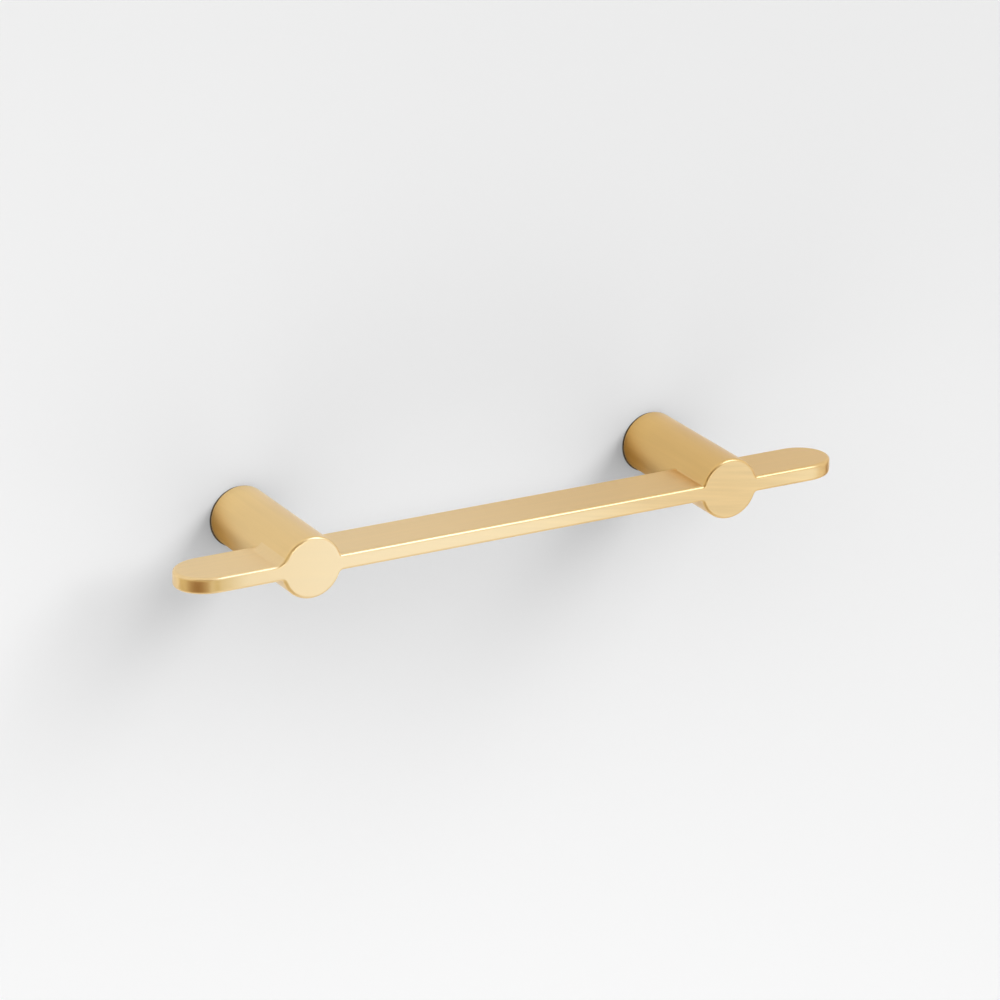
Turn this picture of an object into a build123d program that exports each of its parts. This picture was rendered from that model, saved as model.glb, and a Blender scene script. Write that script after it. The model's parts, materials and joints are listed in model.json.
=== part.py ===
"""Bar pull: a flat bar with rounded tips on two round posts, cast in one piece.

The frame has X along the bar, +Y into the surface that the pull is fixed to, and +Z up.
The origin lies in the mounting plane, midway between the two fixing holes. Millimetres.
"""
from build123d import *

import math
import os

# Driving dimensions
hole_spacing = 96.0  # between the fixing holes, and so between the axes of the posts
projection = 32.0  # from the mounting plane to the front face
post_diameter = 13.0
bar_depth = 12.0  # front to back
bar_thickness = 3.4  # top to bottom
overhang = 27.0  # from a post's axis to the end of the tip beyond it
tip_length = 7.0  # how much of each end is rounded, seen from above

# Edges and corners
edge_radius = 0.7  # on the outside edges of the bar and the front faces
upper_corner_radius = 0.4  # in the corners above the bar, between it and the posts
lower_corner_radius = 0.9  # in the corners below the bar
soft_corner_radius = 3.0  # in the one corner that is left soft, above the left tip
foot_chamfer = 0.25  # round the foot of each post

# Tapped hole for an M4 screw, drilled at the thread's outer diameter
thread_diameter = 4.0
hole_depth = 14.0  # of the full bore, without the drill's point
mouth_chamfer = 0.4
drill_point_angle = 118.0

# Dimensions that follow
front_y = -projection
back_y = front_y + bar_depth
bar_centre_y = front_y + bar_depth / 2
bar_length = hole_spacing + 2 * overhang
straight_length = bar_length - 2 * tip_length
post_xs = (-hole_spacing / 2, hole_spacing / 2)
post_centres = [(x, 0) for x in post_xs]
corner_reach = math.sqrt((post_diameter / 2) ** 2 - (bar_thickness / 2) ** 2)
corner_xs = [x + side * corner_reach for x in post_xs for side in (-1, 1)]
corner_radii = {(x, -bar_thickness / 2): lower_corner_radius for x in corner_xs}
corner_radii |= {(x, bar_thickness / 2): upper_corner_radius for x in corner_xs}
corner_radii[min(corner_xs), bar_thickness / 2] = soft_corner_radius
corner_depth = bar_depth - 2 * edge_radius  # the corner rounds stop short of the bar's back edges
hole_radius = thread_diameter / 2
mouth_radius = hole_radius + mouth_chamfer
drill_point_depth = hole_radius / math.tan(math.radians(drill_point_angle / 2))

with BuildPart() as bar_pull:
    # Posts, from the mounting plane forward
    with BuildSketch(Plane.XZ):
        with Locations(*post_centres):
            Circle(post_diameter / 2)
    extrude(amount=projection)

    # Flat bar with elliptical tips, its front edge in the plane of the posts' front faces
    with BuildSketch(Plane.XY):
        with Locations((0, bar_centre_y)):
            Rectangle(straight_length, bar_depth)
        with Locations((-straight_length / 2, bar_centre_y), (straight_length / 2, bar_centre_y)):
            Ellipse(tip_length, bar_depth / 2)
    extrude(amount=bar_thickness / 2, both=True)

    # Rounded corners between bar and posts, drawn on the front face
    with BuildSketch(Plane.XZ.offset(projection)) as front_outline:
        with Locations(*post_centres):
            Circle(post_diameter / 2)
        Rectangle(straight_length, bar_thickness)
        for corner, radius in corner_radii.items():
            fillet(front_outline.vertices().sort_by_distance(corner)[0], radius)
    extrude(amount=-corner_depth)

    # Outside edges of the front face, the tips and the back of the bar
    along_bar = bar_pull.edges().filter_by(Axis.X)
    front_edges = bar_pull.edges().filter_by_position(Axis.Y, front_y, front_y)
    back_edges = along_bar.filter_by_position(Axis.Y, back_y, back_y)
    fillet(front_edges.filter_by(Axis.Z, reverse=True) + back_edges, edge_radius)

    # Foot of each post
    foot_edges = bar_pull.edges().filter_by(GeomType.CIRCLE).filter_by_position(Axis.Y, 0, 0)
    chamfer(foot_edges, foot_chamfer)

    # Tapped holes: a chamfered mouth, a straight bore and the cone that the drill leaves
    for post_x in post_xs:
        with BuildSketch(Plane(origin=(post_x, 0, 0))):
            with BuildLine():
                Polyline(
                    (0, 0),
                    (mouth_radius, 0),
                    (hole_radius, -mouth_chamfer),
                    (hole_radius, -hole_depth),
                    (0, -hole_depth - drill_point_depth),
                    close=True,
                )
            make_face()
        revolve(axis=Axis((post_x, 0, 0), (0, 1, 0)), mode=Mode.SUBTRACT)

bar_pull.part.label = "bar_pull"

os.makedirs("parts", exist_ok=True)
export_step(bar_pull.part, "parts/bar_pull.step")
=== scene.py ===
"""Looks for the bar pull: brushed satin brass, screw threads, a pale wall, soft light and the camera.

Everything is in metres, in the frame of the part: X along the bar, +Y into the wall, +Z up.
"""
import json
import math

import bpy
from mathutils import Matrix, Vector


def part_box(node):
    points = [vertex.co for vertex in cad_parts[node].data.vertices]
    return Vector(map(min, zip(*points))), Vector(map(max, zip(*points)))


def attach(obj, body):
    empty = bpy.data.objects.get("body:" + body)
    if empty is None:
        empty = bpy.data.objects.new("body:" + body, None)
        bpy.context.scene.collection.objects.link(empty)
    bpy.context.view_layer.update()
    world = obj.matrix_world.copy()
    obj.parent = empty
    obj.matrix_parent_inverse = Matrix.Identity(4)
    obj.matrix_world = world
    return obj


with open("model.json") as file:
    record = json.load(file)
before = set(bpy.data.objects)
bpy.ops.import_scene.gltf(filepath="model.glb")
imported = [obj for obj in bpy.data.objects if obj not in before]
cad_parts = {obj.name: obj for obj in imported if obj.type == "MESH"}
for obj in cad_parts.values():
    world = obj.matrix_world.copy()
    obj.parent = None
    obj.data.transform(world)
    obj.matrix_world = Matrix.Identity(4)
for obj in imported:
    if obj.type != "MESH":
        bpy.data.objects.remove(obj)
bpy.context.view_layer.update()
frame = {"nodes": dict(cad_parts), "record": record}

MM = 0.001
NODE = "bar_pull"
BODY = "root"
SLOT = "satin_brass"
WHITE = (1, 1, 1, 1)

# Sizes read from the frame
low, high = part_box(NODE)
mounts = {mount["name"]: mount for mount in frame["record"]["mounts"]}
holes = mounts["screw_holes"]["dims"]
post_offset = holes["spacing_x_mm"] * MM / 2
hole_radius = holes["hole_r_mm"] * MM
post_radius = high.z
front_y = low.y

# Camera, fitted to the outlines in the photograph
IMAGE_SIDE = 1000
CAMERA_AZIMUTH = math.radians(-29.584)
CAMERA_ELEVATION = math.radians(20.863)
CAMERA_ROLL = math.radians(0.913)
CAMERA_DISTANCE = 1.0
CAMERA_TARGET = Vector((0.00296, front_y / 2, 0.0))
FOCAL_PIXELS = 4924.0
SENSOR_WIDTH = 36.0

# Internal M4 thread
PITCH = 0.7 * MM
CREST_RADIUS = 1.62 * MM
ROOT_SINK = 0.02 * MM  # how far its root lies in the wall of the bore
ROOT_HALF_WIDTH = 0.43 * PITCH
CREST_HALF_WIDTH = 0.07 * PITCH
THREAD_START = 0.5 * MM
THREAD_END = 12.0 * MM
STEPS_PER_TURN = 40
RUN_OUT_STEPS = STEPS_PER_TURN / 2

# Brass: its tones, and the brush lines, counted to the metre along and across them
# The paler left tone is painted light; the brass deepens towards the right tone
LEFT_PAINTED_LIGHT_TONE = (0.89, 0.655, 0.34, 1)
RIGHT_TONE = (0.79, 0.525, 0.215, 1)
# Painted shade: the posts are a shade deeper than the bar
POST_PAINTED_SHADE = (0.98, 0.95, 0.85, 1)
CLOUD_SHARE = 0.15  # the rest of the way from the left to the right tone follows X
CLOUD_WAVES = (45, 90, 90)
LINES_ALONG = 35
LINES_ALONG_FRONT = 50
LINES_ACROSS = 1100
FRONT_SLANT = math.radians(-10)
LINE_DEPTH = 0.004 * MM
LINE_CONTRAST = 0.1  # how far the lines swing the tone
LEFT_CONTRAST = -0.07  # what the front adds to that at the left post
RIGHT_CONTRAST = 0.17  # and at the right post
MEAN_SHADE = 0.995
SMOOTHEST = 0.26
ROUGHEST = 0.34
FRONT_NORMAL = -0.7  # the front is where the normal's Y lies below this
POST_MARGIN = 0.05 * MM  # how far past a post's radius its brush lines go

# Wall. What shows on it near the posts has a reach: the distances from a post's axis at which it starts
# and is full. A shift moves it along X and Z.
WALL_HALF_SIDE = 3.0
WALL_GAP = 0.1 * MM  # behind the feet
# Painted light: the paint is darker above and lighter towards the lower left
UPPER_PAINT_SHADED = (0.80, 0.80, 0.80, 1)
LOWER_PAINT_LIT = (0.96, 0.96, 0.96, 1)
PAINTED_LIGHT_SLOPE = (-0.5, 0, -0.87)  # the way from the upper to the lower paint
PAINTED_LIGHT_HALF_WIDTH = 0.17
# A painted contact shadow where the feet meet the wall
CONTACT_SHADOW_COLOUR = (0.14, 0.10, 0.06, 1)
CONTACT_SHADOW_SHIFT = (-0.2 * MM, -0.12 * MM)
CONTACT_SHADOW_REACH = (post_radius + 0.1 * MM, post_radius - 0.08 * MM)
# Painted light the brass sees in the wall: brighter around the feet, warm in the posts' shadows
FOOT_PAINTED_LIGHT = (1.14, 1.13, 1.06, 1)
FOOT_LIGHT_REACH = (15 * MM, 8 * MM)
SHADOW_PAINTED_BOUNCE = (0.8, 0.55, 0.22, 1)
SHADOW_SHIFT = (-4.5 * MM, -4.2 * MM)
SHADOW_REACH = (12 * MM, 3 * MM)
CLEAR_REACH = 5 * WALL_GAP  # rays that start closer to the wall pass through it

# Light
ROOM = (0.9, 0.9, 0.9)
SIDE_LIGHT = 3.0
TOP_LIGHT = 0.6
EVEN_LIGHT = 0.5
WALL_POWER = 2  # the higher it is, the closer the light keeps to the wall
KEY_WIDTH = 1.0
KEY_LENGTH = 3.2
KEY_POWER = 42.0
KEY_PLACE = Vector((0.565, -0.590, 0.577)) * 2.8
CARD_CORNERS = 48
FRONT_MIRROR = (29.6, -21)  # the angles, in degrees, at which the front mirrors the camera's view


def direction(azimuth, elevation):
    """Unit vector from the object towards a place seen at these angles. Azimuth 0 is straight in front."""
    return Vector((
        math.sin(azimuth) * math.cos(elevation),
        -math.cos(azimuth) * math.cos(elevation),
        math.sin(elevation),
    ))


def aimed(spot, offset, upward):
    """Where a thing stands at an offset from a spot and faces it, its Y axis turned upward."""
    facing = offset.normalized()
    side = Vector(upward).cross(facing).normalized()
    turn = Matrix((side, facing.cross(side), facing)).transposed().to_4x4()
    return Matrix.Translation(spot + offset) @ turn


def link(name, data):
    """A new object in the scene."""
    thing = bpy.data.objects.new(name, data)
    bpy.context.scene.collection.objects.link(thing)
    return thing


class Nodes:
    """A material's or the world's node tree, with short ways to add and join nodes."""

    # Places of a Mix node's colour sockets, which share their names with others
    MIX_FIRST = 6
    MIX_SECOND = 7
    MIX_RESULT = 2

    def __init__(self, owner):
        owner.use_nodes = True
        self.tree = owner.node_tree

    def add(self, kind, inputs=None, **settings):
        """A new node. Inputs are numbers, colours or sockets of other nodes."""
        node = self.tree.nodes.new(kind)
        for name, value in settings.items():
            setattr(node, name, value)
        for name, value in (inputs or {}).items():
            self.set(node, name, value)
        return node

    def set(self, node, name, value):
        """Give an input a number or a colour, or join it to a socket of another node."""
        if isinstance(value, bpy.types.NodeSocket):
            self.tree.links.new(value, node.inputs[name])
        else:
            node.inputs[name].default_value = value

    def math(self, operation, *values):
        """Result of a Math node."""
        return self.add("ShaderNodeMath", dict(enumerate(values)), operation=operation).outputs[0]

    def ramp(self, value, start, end):
        """0 at start and 1 at end, smooth between them."""
        inputs = {"Value": value, "From Min": start, "From Max": end}
        return self.add("ShaderNodeMapRange", inputs, interpolation_type="SMOOTHSTEP").outputs[0]

    def from_post(self, place, shift=(0.0, 0.0)):
        """Distance from the axis of the nearer post, or from a line beside it, shifted along X and Z."""
        x, _, z = self.add("ShaderNodeSeparateXYZ", {0: place}).outputs
        across = self.math("SUBTRACT", x, self.math("MULTIPLY", self.math("SIGN", x), post_offset))
        away = self.add("ShaderNodeCombineXYZ", {"X": across, "Z": z}).outputs[0]
        ends = {0: away, 1: (shift[0], 0, shift[1])}
        return self.add("ShaderNodeVectorMath", ends, operation="DISTANCE").outputs["Value"]

    def mix(self, factor, first, second):
        """The first colour where the factor is 0, the second where it is 1."""
        inputs = {"Factor": factor, self.MIX_FIRST: first, self.MIX_SECOND: second}
        return self.add("ShaderNodeMix", inputs, data_type="RGBA").outputs[self.MIX_RESULT]

    def multiply(self, first, second):
        """Product of two colours, or of a colour and a number."""
        return self.add("ShaderNodeVectorMath", {0: first, 1: second}, operation="MULTIPLY").outputs[0]

    def noise(self, place, scale, turn=0.0, detail=3.0):
        """Noise from 0 to 1, with so many waves to the metre along X, Y and Z, turned about Y."""
        inputs = {"Vector": place, "Angle": turn}
        turned = self.add("ShaderNodeVectorRotate", inputs, rotation_type="Y_AXIS").outputs[0]
        mapped = self.add("ShaderNodeMapping", {"Vector": turned, "Scale": scale}).outputs[0]
        inputs = {"Vector": mapped, "Scale": 1.0, "Detail": detail}
        return self.add("ShaderNodeTexNoise", inputs).outputs[0]


def brass_material():
    """Satin brass, brushed along the bar, along the posts and at a slant across the front."""
    material = bpy.data.materials.new(SLOT)
    nodes = Nodes(material)
    shader = nodes.tree.nodes["Principled BSDF"]
    shader.inputs["Metallic"].default_value = 1.0
    coordinates = nodes.add("ShaderNodeTexCoord")
    place = coordinates.outputs["Object"]
    x = nodes.add("ShaderNodeSeparateXYZ", {0: place}).outputs["X"]
    facing = nodes.add("ShaderNodeSeparateXYZ", {0: coordinates.outputs["Normal"]}).outputs["Y"]

    # Which way a place is brushed
    on_front = nodes.math("LESS_THAN", facing, FRONT_NORMAL)
    in_post = nodes.math("LESS_THAN", nodes.from_post(place), post_radius + POST_MARGIN)
    on_post = nodes.math("SUBTRACT", in_post, on_front)
    along_bar = nodes.noise(place, (LINES_ALONG, LINES_ACROSS, LINES_ACROSS))
    along_post = nodes.noise(place, (LINES_ACROSS, LINES_ALONG, LINES_ACROSS))
    slanting = nodes.noise(place, (LINES_ALONG_FRONT, LINES_ACROSS, LINES_ACROSS), FRONT_SLANT)
    lines = nodes.mix(on_front, nodes.mix(on_post, along_bar, along_post), slanting)

    # Tone: painted light makes it paler on the left, deepening to the right, and painted shade makes the
    # posts a shade deeper, with slow clouds and the brush lines on top.
    # The lines show most on the right of the front.
    clouds = nodes.noise(place, CLOUD_WAVES, detail=1.0)
    painted_light_fade = nodes.ramp(x, -post_offset, post_offset)
    cloudy = nodes.math("MULTIPLY", clouds, CLOUD_SHARE)
    deep = nodes.math("MULTIPLY_ADD", painted_light_fade, 1 - CLOUD_SHARE, cloudy)
    tone = nodes.mix(deep, LEFT_PAINTED_LIGHT_TONE, RIGHT_TONE)
    # Painted shade on the posts
    tone = nodes.multiply(tone, nodes.mix(on_post, WHITE, POST_PAINTED_SHADE))
    added = nodes.math("MULTIPLY_ADD", painted_light_fade, RIGHT_CONTRAST - LEFT_CONTRAST, LEFT_CONTRAST)
    contrast = nodes.math("MULTIPLY_ADD", on_front, added, LINE_CONTRAST)
    shade = nodes.math("MULTIPLY_ADD", nodes.math("SUBTRACT", lines, 0.5), contrast, MEAN_SHADE)
    nodes.set(shader, "Base Color", nodes.multiply(tone, shade))

    rough = nodes.add("ShaderNodeMapRange", {"Value": lines, "To Min": SMOOTHEST, "To Max": ROUGHEST})
    nodes.set(shader, "Roughness", rough.outputs[0])
    bump = nodes.add("ShaderNodeBump", {"Height": lines, "Strength": 1.0, "Distance": LINE_DEPTH})
    nodes.set(shader, "Normal", bump.outputs[0])
    return material


def add_thread(name, centre_x, material):
    """A helical ridge in one hole, from root to crest, which runs out at both ends."""
    corners = 4  # of its profile
    root = hole_radius + ROOT_SINK
    turns = (THREAD_END - THREAD_START) / PITCH
    count = round(turns * STEPS_PER_TURN)
    points = []
    for k in range(count + 1):
        angle = math.tau * k / STEPS_PER_TURN
        height = min(1.0, k / RUN_OUT_STEPS, (count - k) / RUN_OUT_STEPS)
        crest = root + (CREST_RADIUS - root) * height
        middle = -THREAD_START - PITCH * k / STEPS_PER_TURN
        profile = (
            (root, ROOT_HALF_WIDTH),
            (crest, CREST_HALF_WIDTH),
            (crest, -CREST_HALF_WIDTH),
            (root, -ROOT_HALF_WIDTH),
        )
        for radius, offset in profile:
            points.append((
                centre_x + radius * math.cos(angle),
                middle + offset,
                radius * math.sin(angle),
            ))
    faces = [(0, 1, 2, 3), tuple(corners * count + corner for corner in (3, 2, 1, 0))]
    for k in range(count):
        start = corners * k
        end = start + corners
        for corner in range(corners):
            following = (corner + 1) % corners
            faces.append((start + corner, end + corner, end + following, start + following))
    mesh = bpy.data.meshes.new(name)
    mesh.from_pydata(points, [], faces)
    mesh.materials.append(material)
    thread = link(name, mesh)
    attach(thread, BODY)


def wall_paint():
    """Pale matt paint, with painted light making it lighter below. It shows from the front only, so that
    it never hides the part.
    """
    material = bpy.data.materials.new("wall_paint")
    nodes = Nodes(material)
    paint = nodes.tree.nodes["Principled BSDF"]
    paint.inputs["Roughness"].default_value = 0.9
    paint.inputs["Specular IOR Level"].default_value = 0.0
    place = nodes.add("ShaderNodeTexCoord").outputs["Object"]
    path = nodes.add("ShaderNodeLightPath").outputs
    # Painted light: lighter towards the lower left
    down = nodes.add("ShaderNodeVectorMath", {0: place, 1: PAINTED_LIGHT_SLOPE}, operation="DOT_PRODUCT")
    lit_below = nodes.ramp(down.outputs["Value"], -PAINTED_LIGHT_HALF_WIDTH, PAINTED_LIGHT_HALF_WIDTH)
    colour = nodes.mix(lit_below, UPPER_PAINT_SHADED, LOWER_PAINT_LIT)

    # A painted contact shadow: a dark line where the feet of the posts meet it, on the side away from the
    # light
    contact_shadow = nodes.ramp(nodes.from_post(place, CONTACT_SHADOW_SHIFT), *CONTACT_SHADOW_REACH)
    colour = nodes.mix(contact_shadow, colour, CONTACT_SHADOW_COLOUR)

    # Painted reflected light: in the brass the wall shows brighter around the feet, and warm in the
    # shadows, as if the posts shone on it
    around = nodes.ramp(nodes.from_post(place), *FOOT_LIGHT_REACH)
    shadow = nodes.ramp(nodes.from_post(place, SHADOW_SHIFT), *SHADOW_REACH)
    painted_reflection = nodes.mix(shadow, nodes.mix(around, WHITE, FOOT_PAINTED_LIGHT), SHADOW_PAINTED_BOUNCE)
    painted_reflection = nodes.mix(path["Is Glossy Ray"], WHITE, painted_reflection)
    nodes.set(paint, "Base Color", nodes.multiply(colour, painted_reflection))

    # Clear from behind, and for light on its way to the feet, which all but touch it
    behind = nodes.add("ShaderNodeNewGeometry").outputs["Backfacing"]
    near = nodes.math("LESS_THAN", path["Ray Length"], CLEAR_REACH)
    clear = nodes.add("ShaderNodeBsdfTransparent").outputs[0]
    sides = {0: nodes.math("MAXIMUM", behind, near), 1: paint.outputs[0], 2: clear}
    shown = nodes.add("ShaderNodeMixShader", sides)
    nodes.set(nodes.tree.nodes["Material Output"], "Surface", shown.outputs[0])
    return material


def add_wall():
    """The wall behind the posts, on which they stand."""
    corners = [
        (-WALL_HALF_SIDE, WALL_GAP, -WALL_HALF_SIDE),
        (WALL_HALF_SIDE, WALL_GAP, -WALL_HALF_SIDE),
        (WALL_HALF_SIDE, WALL_GAP, WALL_HALF_SIDE),
        (-WALL_HALF_SIDE, WALL_GAP, WALL_HALF_SIDE),
    ]
    mesh = bpy.data.meshes.new("wall")
    mesh.from_pydata(corners, [], [(0, 1, 2, 3)])
    mesh.materials.append(wall_paint())
    wall = link("wall", mesh)


def add_room():
    """Soft light from left and right, most of it along the wall. The brass sees an even pale room."""
    world = bpy.data.worlds.new("studio")
    bpy.context.scene.world = world
    nodes = Nodes(world)
    coordinates = nodes.add("ShaderNodeTexCoord").outputs["Generated"]
    x, y, z = nodes.add("ShaderNodeSeparateXYZ", {0: coordinates}).outputs
    off_axis = nodes.math("SUBTRACT", 1.0, nodes.math("MULTIPLY", y, y))
    along_wall = nodes.math("POWER", off_axis, WALL_POWER)
    from_sides = nodes.math("MULTIPLY", nodes.math("ABSOLUTE", x), SIDE_LIGHT)
    from_above = nodes.math("MULTIPLY", nodes.math("MAXIMUM", z, 0.0), TOP_LIGHT)
    level = nodes.math("ADD", nodes.math("ADD", from_sides, from_above), EVEN_LIGHT)
    light = nodes.math("MULTIPLY", level, along_wall)
    path = nodes.add("ShaderNodeLightPath").outputs
    seen = nodes.math("MAXIMUM", path["Is Camera Ray"], path["Is Glossy Ray"])
    nodes.set(nodes.tree.nodes["Background"], "Color", nodes.mix(seen, light, (*ROOM, 1)))


def add_key():
    """A long soft box, above on the right. Its length points away from the wall, so the shadows fade."""
    key = bpy.data.lights.new("key", "AREA")
    key.shape = "RECTANGLE"
    key.size = KEY_WIDTH
    key.size_y = KEY_LENGTH
    key.energy = KEY_POWER
    lamp = link("key", key)
    lamp.matrix_world = aimed(Vector(), KEY_PLACE, (0, -1, 0))
    lamp.visible_camera = False
    lamp.visible_glossy = False


def add_card(name, spot, angles, distance, size, centre, rim, fade=0.0):
    """An oval card out of view, which shows only in reflections. Its colour fades from centre to rim.

    It faces a spot on the part, and the angles are those at which it is seen from there, in degrees.
    A colour above 1 is brighter than white.
    """
    turns = [math.tau * k / CARD_CORNERS for k in range(CARD_CORNERS)]
    outline = [(size[0] / 2 * math.cos(turn), size[1] / 2 * math.sin(turn), 0) for turn in turns]
    mesh = bpy.data.meshes.new(name)
    mesh.from_pydata(outline, [], [tuple(range(CARD_CORNERS))])
    card = link(name, mesh)
    card.matrix_world = aimed(spot, direction(*map(math.radians, angles)) * distance, (0, 0, 1))
    material = bpy.data.materials.new(name)
    nodes = Nodes(material)
    place = nodes.add("ShaderNodeTexCoord").outputs["Object"]
    shrunk = nodes.add("ShaderNodeMapping", {"Vector": place, "Scale": (2 / size[0], 2 / size[1], 1)})
    out = nodes.add("ShaderNodeVectorMath", {0: shrunk.outputs[0]}, operation="LENGTH").outputs["Value"]
    colour = nodes.mix(nodes.ramp(out, fade, 1.0), (*centre, 1), (*rim, 1))
    glow = nodes.add("ShaderNodeEmission", {"Color": colour, "Strength": 1.0})
    nodes.set(nodes.tree.nodes["Material Output"], "Surface", glow.outputs[0])
    mesh.materials.append(material)
    card.visible_camera = False
    card.visible_diffuse = False
    card.visible_shadow = False


def add_cards():
    """Cards that only the brass sees: bright ones for the front and the ridge, dark ones elsewhere."""
    middle = Vector((0, front_y, 0))
    right_of_middle = Vector((60 * MM, front_y, 0))
    right_disc = Vector((post_offset - 4 * MM, front_y, 0))
    left_tip = Vector((low.x + 4 * MM, front_y + 2 * MM, 0))
    left_turn = Vector((low.x + 5 * MM, front_y, 0))
    right_tip = Vector((high.x - 3 * MM, front_y + 4 * MM, 0))

    # The front, the right post's face, the rims and the ridge
    add_card(
        "front_card", right_of_middle, FRONT_MIRROR, distance=0.37, size=(0.48, 0.5),
        centre=(1.15, 1.4, 1.97), rim=(0.88, 0.88, 0.88), fade=0.1,
    )
    add_card(
        "disc_card", right_disc, FRONT_MIRROR, distance=0.06, size=(0.042, 0.02),
        centre=(0.93, 1.0, 1.2), rim=(1.05, 1.2, 1.6), fade=0.6,
    )
    add_card("rim_card", middle, (8, 2), distance=0.6, size=(0.22, 0.22), centre=(4.0, 4.4, 5.0), rim=ROOM)
    add_card(
        "ridge_card", middle, (39, 41), distance=0.58, size=(0.48, 0.48),
        centre=(3.2, 4.2, 6.2), rim=ROOM, fade=0.1,
    )

    # The left side and the left tip
    add_card(
        "left_card", middle, (-28, 24), distance=1.7, size=(3.0, 2.2),
        centre=(0.16, 0.08, 0.01), rim=(0.75, 0.65, 0.42), fade=0.4,
    )
    add_card(
        "left_tip_card", left_tip, (-44, -21), distance=0.05, size=(0.10, 0.13),
        centre=(0.22, 0.09, 0.0), rim=(0.64, 0.55, 0.36),
    )
    add_card(
        "left_end_card", left_tip, (-44, -21), distance=0.055, size=(0.22, 0.17),
        centre=(0.66, 0.58, 0.4), rim=(0.72, 0.66, 0.48),
    )
    add_card(
        "left_turn_card", left_turn, (20, -21), distance=0.02, size=(0.016, 0.03),
        centre=(0.64, 0.58, 0.36), rim=(0.86, 0.9, 0.9), fade=0.2,
    )
    add_card(
        "left_back_card", left_tip, (-110, -21), distance=0.06, size=(0.06, 0.1),
        centre=(0.6, 0.52, 0.3), rim=(0.74, 0.68, 0.5),
    )

    # The right tip, and the undersides
    add_card(
        "right_tip_card", right_tip, (107, -21), distance=0.1, size=(0.06, 0.12),
        centre=(0.3, 0.14, 0.0), rim=(0.8, 0.65, 0.35), fade=0.5,
    )
    add_card(
        "floor_card", middle, (-60, -65), distance=1.5, size=(1.6, 1.6),
        centre=(0.25, 0.15, 0.05), rim=(0.8, 0.75, 0.65),
    )


def add_camera():
    """A camera that sees the part as the photograph does."""
    data = bpy.data.cameras.new("camera")
    data.sensor_width = SENSOR_WIDTH
    data.lens = FOCAL_PIXELS / IMAGE_SIDE * SENSOR_WIDTH
    data.clip_start = 0.01
    data.clip_end = 100.0
    camera = link("camera", data)
    back = direction(CAMERA_AZIMUTH, CAMERA_ELEVATION)
    turn = (-back).to_track_quat("-Z", "Y").to_matrix().to_4x4()
    roll = Matrix.Rotation(CAMERA_ROLL, 4, "Z")
    camera.matrix_world = Matrix.Translation(CAMERA_TARGET + back * CAMERA_DISTANCE) @ turn @ roll
    bpy.context.scene.camera = camera


brass = brass_material()
for slot in frame["nodes"][NODE].material_slots:
    slot.material = brass
add_thread("thread_left", -post_offset, brass)
add_thread("thread_right", post_offset, brass)

add_wall()
add_room()
add_key()
add_cards()
add_camera()
bpy.context.scene.cycles.caustics_reflective = False  # the brass throws no yellow light on the wall
bpy.context.scene.view_settings.view_transform = "Standard"
